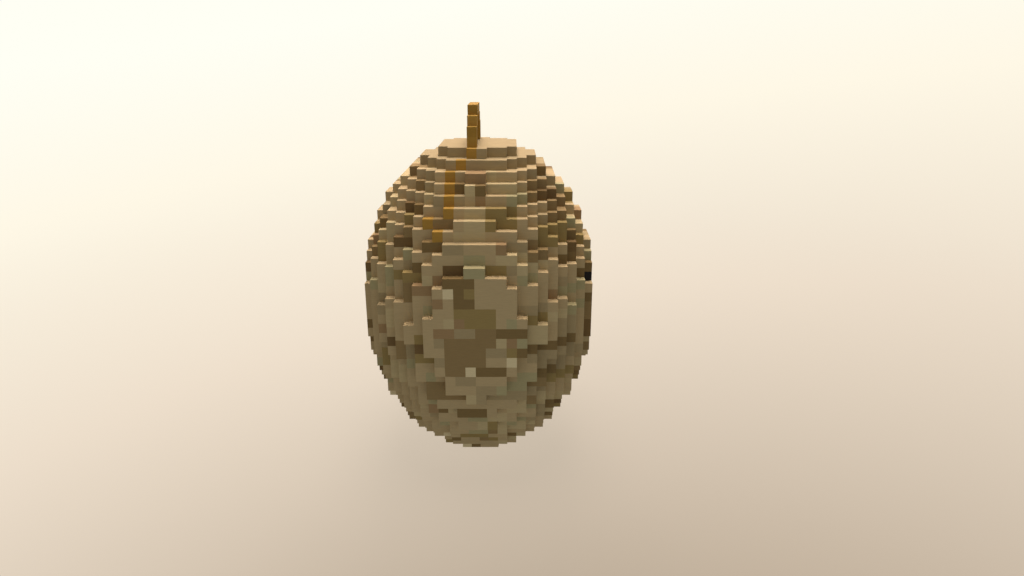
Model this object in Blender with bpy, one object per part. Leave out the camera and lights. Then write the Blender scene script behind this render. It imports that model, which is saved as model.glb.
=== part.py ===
"""Wasp nest: an egg of wasp paper laid up in square blocks, with the short loop on top that it hangs by.

Metres, +Z up, -Y to the front. The origin is the centre of the flat underside that the nest stands on.
"""

import math

import bmesh
import bpy
from mathutils import Vector

BLOCK = 0.010                 # edge of one square block of paper
LAYERS = 34                   # level layers of blocks in the egg
COLUMNS = 24                  # blocks across the widest layer
ROWS = 27                     # blocks from front to back in the widest layer

# The smooth egg that the blocks follow: a block belongs to the nest where its centre lies inside it.
# Its very tip, foot and flanks pass the outermost blocks, which leaves those sides flat.
EGG_WIDTH = 25.11 * BLOCK
EGG_DEPTH = 28.112 * BLOCK
EGG_HEIGHT = 35.104 * BLOCK
EGG_MIDDLE = 17.113 * BLOCK   # height of its widest level

# The loop: an arch one block wide that stands front to back on the top layer, left of the middle.
GAP = 0.0003                  # clear space under its feet
LOOP_SPAN = 9 * BLOCK         # front to back, over its feet
LOOP_HEIGHT = 4 * BLOCK
FOOT_HEIGHT = 2 * BLOCK       # the part of each leg below its first step
STEP = 1 * BLOCK              # how far each step of a leg leans in, and how tall it is
LAP = 0.25 * BLOCK            # how far one step runs on behind the next, which holds them together

SIDES = [(1, 0, 0), (-1, 0, 0), (0, 1, 0), (0, -1, 0), (0, 0, 1), (0, 0, -1)]


def clear_scene():
    for obj in list(bpy.data.objects):
        bpy.data.objects.remove(obj, do_unlink=True)


def paper(name, hex_colour, roughness):
    """A matt Principled BSDF of one sRGB colour."""
    channels = [int(hex_colour[n:n + 2], 16) / 255 for n in (0, 2, 4)]
    linear = [c / 12.92 if c <= 0.04045 else ((c + 0.055) / 1.055) ** 2.4 for c in channels]
    material = bpy.data.materials.new(name)
    material.use_nodes = True
    shader = material.node_tree.nodes["Principled BSDF"]
    shader.inputs["Base Color"].default_value = (*linear, 1.0)
    shader.inputs["Roughness"].default_value = roughness
    shader.inputs["Metallic"].default_value = 0.0
    return material


def add_object(name, mesh, material):
    bmesh.ops.recalc_face_normals(mesh, faces=mesh.faces)
    data = bpy.data.meshes.new(name)
    mesh.to_mesh(data)
    mesh.free()
    data.materials.append(material)
    obj = bpy.data.objects.new(name, data)
    bpy.context.scene.collection.objects.link(obj)
    return obj


def centre_of(block):
    """The middle of a block that is named by its column, row and layer."""
    column, row, layer = block
    return Vector((
        (column + 0.5 - COLUMNS / 2) * BLOCK,
        (row + 0.5 - ROWS / 2) * BLOCK,
        (layer + 0.5) * BLOCK,
    ))


def egg_blocks():
    """Every block whose centre is inside the smooth egg."""
    middle = Vector((0, 0, EGG_MIDDLE))
    blocks = set()
    for column in range(COLUMNS):
        for row in range(ROWS):
            for layer in range(LAYERS):
                out = centre_of((column, row, layer)) - middle
                reach = math.hypot(2 * out.x / EGG_WIDTH, 2 * out.y / EGG_DEPTH, 2 * out.z / EGG_HEIGHT)
                if reach <= 1:
                    blocks.add((column, row, layer))
    return blocks


def skin_of(blocks):
    """One closed skin: a square on each side of a block that has no neighbour there."""
    mesh = bmesh.new()
    corners = {}

    def corner(point):
        key = tuple(round(2 * value / BLOCK) for value in point)
        if key not in corners:
            corners[key] = mesh.verts.new(point)
        return corners[key]

    for block in sorted(blocks):
        for side in SIDES:
            if tuple(b + s for b, s in zip(block, side)) in blocks:
                continue
            out = Vector(side)
            across = Vector((out.y, out.z, out.x))
            up = out.cross(across)
            face = centre_of(block) + out * BLOCK / 2
            turns = [(-1, -1), (1, -1), (1, 1), (-1, 1)]
            mesh.faces.new([corner(face + (across * a + up * b) * BLOCK / 2) for a, b in turns])
    return mesh


def build_nest():
    add_object("nest", skin_of(egg_blocks()), paper("wasp paper", "9a8455", 0.9))


def build_loop():
    """The arch's stepped outline, seen from the side, pushed out to the width of one block."""
    foot = LAYERS * BLOCK + GAP
    half = LOOP_SPAN / 2
    left = -BLOCK
    outer = [
        (half, foot), (half, foot + FOOT_HEIGHT),
        (half - STEP, foot + FOOT_HEIGHT), (half - STEP, foot + FOOT_HEIGHT + STEP),
        (half - 2 * STEP, foot + FOOT_HEIGHT + STEP), (half - 2 * STEP, foot + LOOP_HEIGHT),
    ]
    inner = [
        (half - 2 * STEP - LAP, foot + FOOT_HEIGHT + STEP), (half - 2 * STEP - LAP, foot + FOOT_HEIGHT),
        (half - STEP - LAP, foot + FOOT_HEIGHT), (half - STEP - LAP, foot),
    ]
    outline = [(-y, z) for y, z in outer] + [(y, z) for y, z in reversed(outer)]
    outline += [(y, z) for y, z in reversed(inner)] + [(-y, z) for y, z in inner]
    mesh = bmesh.new()
    face = mesh.faces.new([mesh.verts.new((left, y, z)) for y, z in outline])
    pushed = bmesh.ops.extrude_face_region(mesh, geom=[face])
    moved = [item for item in pushed["geom"] if isinstance(item, bmesh.types.BMVert)]
    bmesh.ops.translate(mesh, verts=moved, vec=(BLOCK, 0, 0))
    add_object("hanging_loop", mesh, paper("ochre paper", "8a6a2c", 0.9))


clear_scene()
build_nest()
build_loop()
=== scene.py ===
"""Looks of a wasp nest: the paper of its egg and of its hanging loop, on a plain pale floor.

Metres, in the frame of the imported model: +Z up and -Y to the front, with the nest standing on Z = 0.
"""

import itertools
import math
import random

import bmesh
import bpy
from mathutils import Matrix, Vector
from mathutils.bvhtree import BVHTree


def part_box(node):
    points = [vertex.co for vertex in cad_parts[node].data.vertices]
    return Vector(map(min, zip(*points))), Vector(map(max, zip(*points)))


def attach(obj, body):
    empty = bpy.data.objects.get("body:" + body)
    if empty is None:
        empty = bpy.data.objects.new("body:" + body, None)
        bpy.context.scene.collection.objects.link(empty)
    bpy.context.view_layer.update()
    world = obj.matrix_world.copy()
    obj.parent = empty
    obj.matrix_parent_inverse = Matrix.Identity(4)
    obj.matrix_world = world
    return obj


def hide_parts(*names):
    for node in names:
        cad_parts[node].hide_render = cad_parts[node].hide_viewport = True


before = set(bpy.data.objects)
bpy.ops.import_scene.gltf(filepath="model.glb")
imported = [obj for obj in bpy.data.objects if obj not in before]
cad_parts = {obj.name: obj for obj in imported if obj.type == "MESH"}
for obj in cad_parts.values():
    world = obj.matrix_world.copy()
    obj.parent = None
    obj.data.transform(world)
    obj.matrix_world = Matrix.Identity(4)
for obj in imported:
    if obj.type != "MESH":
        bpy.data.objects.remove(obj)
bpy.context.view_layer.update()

MM = 0.001


# Nest. The envelope of wasp paper: weathered wood that the wasps chew to pulp and lay down load by
# load, so each load dries to the colour of its wood. It is laid up in square blocks, and every load
# covers whole blocks.

BLOCK = 10 * MM
nest_low, nest_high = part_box("nest")
COLUMNS, ROWS, LAYERS = (round(side / BLOCK) for side in nest_high - nest_low)
SIDES = [(1, 0, 0), (-1, 0, 0), (0, 1, 0), (0, -1, 0), (0, 0, 1), (0, 0, -1)]
SOFT_EDGE = 0.2 * MM          # how far the paper rounds off along the edges of the blocks

# Albedo of each kind of pulp, and the painted shade of the way in.
PAPERS = {
    "sandy": "b19a70",
    "straw": "b7a377",
    "mossy": "a3976d",
    "drab": "a18d66",
    "khaki": "937d4c",
    "russet": "997c55",
    "bark": "8d754c",
    "umber": "7d663e",
    "heartwood": "735b37",
    "chalky": "d4c195",
    "ochre": "a67f37",
    # painted shade: the dark of the hollow way in, laid on a flush block
    "painted_hole_shade": "262422",
}
KINDS = list(PAPERS)

# How many loads of each pulp lie round the nest, and the most blocks that one is long and tall.
LOADS = [
    ("straw", 170, 4, 2),
    ("mossy", 150, 2, 2),
    ("drab", 130, 4, 2),
    ("khaki", 110, 3, 2),
    ("russet", 40, 2, 1),
    ("bark", 110, 3, 2),
    ("umber", 110, 3, 1),
    ("heartwood", 60, 2, 1),
    ("chalky", 40, 1, 1),
]

CAP_LAYER = 32                # the layers from here up are drab all round

# Two marks have a place of their own on the front. One is a trail of ochre pulp that runs down from the
# loop: the column and the layer of each stretch's lowest block, and how many blocks tall it is. The
# other is the way in, at the right. It is not cut as a hole: one flush block is painted dark, as painted
# shade of the hollow behind it. The numbers are its column and its layer.
TRAIL = [(11, 33, 1), (10, 32, 1), (9, 28, 4), (7, 27, 1), (8, 26, 1)]
WAY_IN = (23, 20)


def centre_of(block):
    """The middle of a block that is named by its column, row and layer."""
    return nest_low + (Vector(block) + Vector((0.5, 0.5, 0.5))) * BLOCK


def beside(block, side):
    """The block that shares that side, whether it is there or not."""
    return tuple(b + s for b, s in zip(block, side))


solid = bmesh.new()
solid.from_mesh(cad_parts["nest"].data)
skin_of_solid = BVHTree.FromBMesh(solid)
solid.free()


def is_inside(point):
    """True where the way up from the point leaves the solid."""
    up = Vector((0, 0, 1))
    hit, normal, *_ = skin_of_solid.ray_cast(point, up)
    return hit is not None and normal.dot(up) > 0


grid = itertools.product(range(COLUMNS), range(ROWS), range(LAYERS))
blocks = {block for block in grid if is_inside(centre_of(block))}
outer_blocks = sorted(b for b in blocks if any(beside(b, side) not in blocks for side in SIDES))

pulp = dict.fromkeys(outer_blocks, "sandy")
dice = random.Random(4)
for kind, count, longest, tallest in LOADS:
    for _ in range(count):
        start = dice.choice(outer_blocks)
        length = dice.randint(1, longest)
        size = (length, length, dice.randint(1, tallest))
        for block in outer_blocks:
            if all(s <= b < s + n for s, b, n in zip(start, block, size)):
                pulp[block] = kind

pulp.update({block: "drab" for block in outer_blocks if block[2] >= CAP_LAYER})

front = {}                    # the block that shows at each column and layer of the front
for block in outer_blocks:
    front.setdefault((block[0], block[2]), block)
for column, layer, tall in TRAIL:
    for n in range(tall):
        pulp[front[column, layer + n]] = "ochre"
# The way in is no hole: its block gets painted shade.
pulp[front[WAY_IN]] = "painted_hole_shade"

nest_mesh = bmesh.new()
pulp_layer = nest_mesh.faces.layers.float.new("pulp")
for block in outer_blocks:
    for side in SIDES:
        if beside(block, side) not in blocks:
            out = Vector(side)
            turn = out.to_track_quat("Z", "Y").to_matrix().to_4x4()
            place = Matrix.Translation(centre_of(block) + out * BLOCK / 2) @ turn
            made = bmesh.ops.create_grid(nest_mesh, x_segments=1, y_segments=1, size=BLOCK / 2, matrix=place)
            made["verts"][0].link_faces[0][pulp_layer] = (KINDS.index(pulp[block]) + 0.5) / len(KINDS)
bmesh.ops.remove_doubles(nest_mesh, verts=nest_mesh.verts, dist=BLOCK / 100)


def soften(mesh):
    """Rounds off every edge where the paper turns a corner."""
    turns = [edge for edge in mesh.edges if edge.calc_face_angle() > math.radians(1)]
    bmesh.ops.bevel(
        mesh, geom=turns, offset=SOFT_EDGE, offset_type="OFFSET", affect="EDGES",
        segments=2, profile=0.5, material=-1, clamp_overlap=True,
    )


def add_object(name, data):
    """An object of that mesh, light or camera at the origin."""
    new_object = bpy.data.objects.new(name, data)
    bpy.context.scene.collection.objects.link(new_object)
    return new_object


def add_piece(name, mesh, material):
    """An object of that bmesh and material, with its place in its mesh."""
    data = bpy.data.meshes.new(name)
    mesh.to_mesh(data)
    mesh.free()
    data.materials.append(material)
    return add_object(name, data)


def linear(hex_colour):
    """The linear RGBA of an sRGB hex colour."""
    channels = [int(hex_colour[n:n + 2], 16) / 255 for n in (0, 2, 4)]
    return *[c / 12.92 if c <= 0.04045 else ((c + 0.055) / 1.055) ** 2.4 for c in channels], 1.0


def new_material(name):
    """A material, its node tree and its Principled BSDF."""
    material = bpy.data.materials.new(name)
    material.use_nodes = True
    return material, material.node_tree, material.node_tree.nodes["Principled BSDF"]


def add_node(tree, kind, inputs=(), **settings):
    """A node with its settings. Each of its inputs gets a value, or a link from another node's output."""
    node = tree.nodes.new(kind)
    for name, value in settings.items():
        setattr(node, name, value)
    for name, value in dict(inputs).items():
        if isinstance(value, bpy.types.NodeSocket):
            tree.links.new(value, node.inputs[name])
        else:
            node.inputs[name].default_value = value
    return node


def fill_ramp(ramp, stops):
    """Gives a colour ramp its stops, each a place from 0 to 1 and a hex colour, in rising order."""
    while len(ramp.elements) < len(stops):
        ramp.elements.new(1.0)
    for element, (place, colour) in zip(ramp.elements, stops):
        element.position = place
        element.color = linear(colour)


FIBRE = 1.2 * MM              # width of a bundle of fibres; single ones are too fine to show
STROKE = 9 * MM               # length of a bundle
GRAIN = 0.05                  # how much lighter or darker a bundle is than its load
RELIEF = 0.15 * MM            # how far a bundle stands out


def carton(name, papers):
    """Chewed wood fibre that was laid wet in strokes level round the nest and has dried matt. Each load
    keeps one even colour, which the mesh's "pulp" picks from the papers, with a faint grain of fibres."""
    material, tree, shader = new_material(name)
    load = add_node(tree, "ShaderNodeAttribute", attribute_name="pulp")
    tones = add_node(tree, "ShaderNodeValToRGB", {"Fac": load.outputs["Fac"]})
    tones.color_ramp.interpolation = "CONSTANT"
    fill_ramp(tones.color_ramp, [(n / len(papers), paper) for n, paper in enumerate(papers)])
    here = add_node(tree, "ShaderNodeTexCoord").outputs["Object"]
    strokes = add_node(
        tree, "ShaderNodeMapping", {"Vector": here, "Scale": (1 / STROKE, 1 / STROKE, 1 / FIBRE)}
    )
    fibres = add_node(
        tree, "ShaderNodeTexNoise",
        {"Vector": strokes.outputs["Vector"], "Scale": 1.0, "Detail": 3.0, "Roughness": 0.6},
    )
    shade = add_node(
        tree, "ShaderNodeMapRange",
        {
            "Value": fibres.outputs["Fac"], "From Min": 0.3, "From Max": 0.7,
            "To Min": 1 - GRAIN, "To Max": 1 + GRAIN,
        },
    )
    grained = add_node(
        tree, "ShaderNodeHueSaturation", {"Color": tones.outputs["Color"], "Value": shade.outputs["Result"]}
    )
    relief = add_node(
        tree, "ShaderNodeBump", {"Height": fibres.outputs["Fac"], "Strength": 0.3, "Distance": RELIEF}
    )
    tree.links.new(grained.outputs["Color"], shader.inputs["Base Color"])
    tree.links.new(relief.outputs["Normal"], shader.inputs["Normal"])
    shader.inputs["Roughness"].default_value = 0.92
    shader.inputs["Specular IOR Level"].default_value = 0.2
    return material


soften(nest_mesh)
wasp_paper = carton("wasp carton", list(PAPERS.values()))
nest = add_piece("wasp_nest", nest_mesh, wasp_paper)
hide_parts("nest")
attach(nest, "root")


# Hanging loop. The arch that the nest hangs by, of darker ochre pulp that the wasps lay thick and
# tough. It grows out of the top layer, one block wide, with its legs stepping in to a level bar.

OCHRES = ["a07c35", "97742f", "a9833b"]   # the loads of its blocks
loop_low, loop_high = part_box("hanging_loop")
loop_mesh = bmesh.new()
loop_mesh.from_mesh(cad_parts["hanging_loop"].data)
bmesh.ops.remove_doubles(loop_mesh, verts=loop_mesh.verts, dist=BLOCK / 100)

# Its faces are parted from block to block, and each block draws its load.
for axis in range(3):
    for n in range(1, round((loop_high - loop_low)[axis] / BLOCK)):
        cut = loop_low.copy()
        cut[axis] += n * BLOCK
        bmesh.ops.bisect_plane(
            loop_mesh, geom=loop_mesh.verts[:] + loop_mesh.edges[:] + loop_mesh.faces[:],
            plane_co=cut, plane_no=Vector([float(a == axis) for a in range(3)]), dist=BLOCK / 1000,
        )
pulp_layer = loop_mesh.faces.layers.float.new("pulp")
drawn = {}                    # the load of each block
for face in loop_mesh.faces:
    inside = face.calc_center_median() - face.normal * BLOCK / 10 - loop_low
    block = tuple(int(distance / BLOCK) for distance in inside)
    face[pulp_layer] = drawn.setdefault(block, dice.random())

# The feet reach down to the top layer.
for vert in loop_mesh.verts:
    if vert.co.z < loop_low.z + BLOCK / 100:
        vert.co.z = nest_high.z

soften(loop_mesh)
ochre_paper = carton("ochre carton", OCHRES)
loop = add_piece("hanging_loop_paper", loop_mesh, ochre_paper)
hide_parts("hanging_loop")
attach(loop, "root")


# Studio. A pale paper floor that fades out into a backdrop all round, under two softboxes. The backdrop is a
# glowing dome with painted light and shade graded on it, white at eye level and darker low down. It is only
# seen: it throws no light on the nest.

FLOOR_SOLID = 0.6             # radius from which the floor fades
FLOOR_EDGE = 1.6              # radius by which it has faded out
FLOOR_SHOWS = 0.1             # how solid the floor and the shadow on it look before the backdrop
floor_mesh = bmesh.new()
bmesh.ops.create_circle(floor_mesh, cap_ends=True, segments=96, radius=FLOOR_EDGE)
floor_paper, tree, shader = new_material("matt backdrop paper")
shader.inputs["Base Color"].default_value = linear("cdc3b3")
shader.inputs["Roughness"].default_value = 0.95
shader.inputs["Specular IOR Level"].default_value = 0.1
here = add_node(tree, "ShaderNodeTexCoord").outputs["Object"]
away = add_node(tree, "ShaderNodeVectorMath", {0: here}, operation="LENGTH")
fade = add_node(
    tree, "ShaderNodeMapRange",
    {
        "Value": away.outputs["Value"], "From Min": FLOOR_SOLID, "From Max": FLOOR_EDGE,
        "To Min": FLOOR_SHOWS, "To Max": 0.0,
    },
    interpolation_type="SMOOTHSTEP",
)
tree.links.new(fade.outputs["Result"], shader.inputs["Alpha"])
floor = add_piece("floor", floor_mesh, floor_paper)

# The backdrop's painted glow, by the height of the line of sight, as a share of the dome's radius.
DOME = 4.0
TILT = 0.16                   # how much lighter it is to the left, as a share of the same
BACKDROP = [(-0.7, "bcac98"), (-0.3, "ecdecb"), (0.0, "fff8e6"), (0.2, "fffff4")]
dome_mesh = bmesh.new()
bmesh.ops.create_uvsphere(dome_mesh, u_segments=64, v_segments=32, radius=DOME)
bmesh.ops.reverse_faces(dome_mesh, faces=dome_mesh.faces)
graded, tree, shader = new_material("graded backdrop")
tree.nodes.remove(shader)
here = add_node(tree, "ShaderNodeTexCoord").outputs["Object"]
height = add_node(tree, "ShaderNodeVectorMath", {0: here, 1: (-TILT, 0.0, 1.0)}, operation="DOT_PRODUCT")
share = add_node(
    tree, "ShaderNodeMapRange", {"Value": height.outputs["Value"], "From Min": -DOME, "From Max": DOME}
)
grade = add_node(tree, "ShaderNodeValToRGB", {"Fac": share.outputs["Result"]})
fill_ramp(grade.color_ramp, [((level + 1) / 2, colour) for level, colour in BACKDROP])
# The dome glows with the grade: painted light, lighter at eye level and to the left, and painted shade low
# down.
glow = add_node(tree, "ShaderNodeEmission", {"Color": grade.outputs["Color"]})
tree.links.new(glow.outputs["Emission"], tree.nodes["Material Output"].inputs["Surface"])
dome = add_piece("backdrop", dome_mesh, graded)
dome.visible_diffuse = dome.visible_glossy = dome.visible_shadow = False

# The light that fills the studio, stronger from the pale floor than from above.
FROM_FLOOR, FROM_ABOVE = "bdbebd", "898d90"
BLEND = 0.2                   # how far below and above level they blend, as a share of straight up
world = bpy.data.worlds.new("studio air")
bpy.context.scene.world = world
world.use_nodes = True
tree = world.node_tree
height = add_node(
    tree, "ShaderNodeSeparateXYZ", {"Vector": add_node(tree, "ShaderNodeTexCoord").outputs["Generated"]}
)
raised = add_node(
    tree, "ShaderNodeMapRange", {"Value": height.outputs["Z"], "From Min": -BLEND, "From Max": BLEND}
)
grade = add_node(tree, "ShaderNodeValToRGB", {"Fac": raised.outputs["Result"]})
fill_ramp(grade.color_ramp, [(0.0, FROM_FLOOR), (1.0, FROM_ABOVE)])
tree.links.new(grade.outputs["Color"], tree.nodes["Background"].inputs["Color"])

# One softbox hangs overhead and lights the tops of the blocks but hardly their sides. The other stands
# behind, low enough that each block of the front keeps its light off the ledge below.
SOFTBOX_SIDE = 1.1
AIM = Vector((0, 0, 0.3))
for name, place, watts, colour in [
    ("overhead softbox", Vector((0.05, 0.05, 2.2)), 51, "fff3ef"),
    ("back softbox", Vector((0.0, 1.8, 1.75)), 40, "ffeadf"),
]:
    light = bpy.data.lights.new(name, "AREA")
    light.size = SOFTBOX_SIDE
    light.energy = watts
    light.color = linear(colour)[:3]
    softbox = add_object(name, light)
    softbox.location = place
    softbox.rotation_euler = (place - AIM).to_track_quat("Z", "Y").to_euler()

# The camera looks slightly down on the nest from the front, a little right of its middle.
CAMERA_PLACE = (0.0352, -0.7516, 0.4239)
LOOKS_DOWN = math.radians(18.19)
camera_data = bpy.data.cameras.new("camera")
camera_data.lens = 24.44
camera = add_object("camera", camera_data)
camera.location = CAMERA_PLACE
camera.rotation_euler = (math.radians(90) - LOOKS_DOWN, 0, 0)
bpy.context.scene.camera = camera
bpy.context.scene.view_settings.view_transform = "Standard"
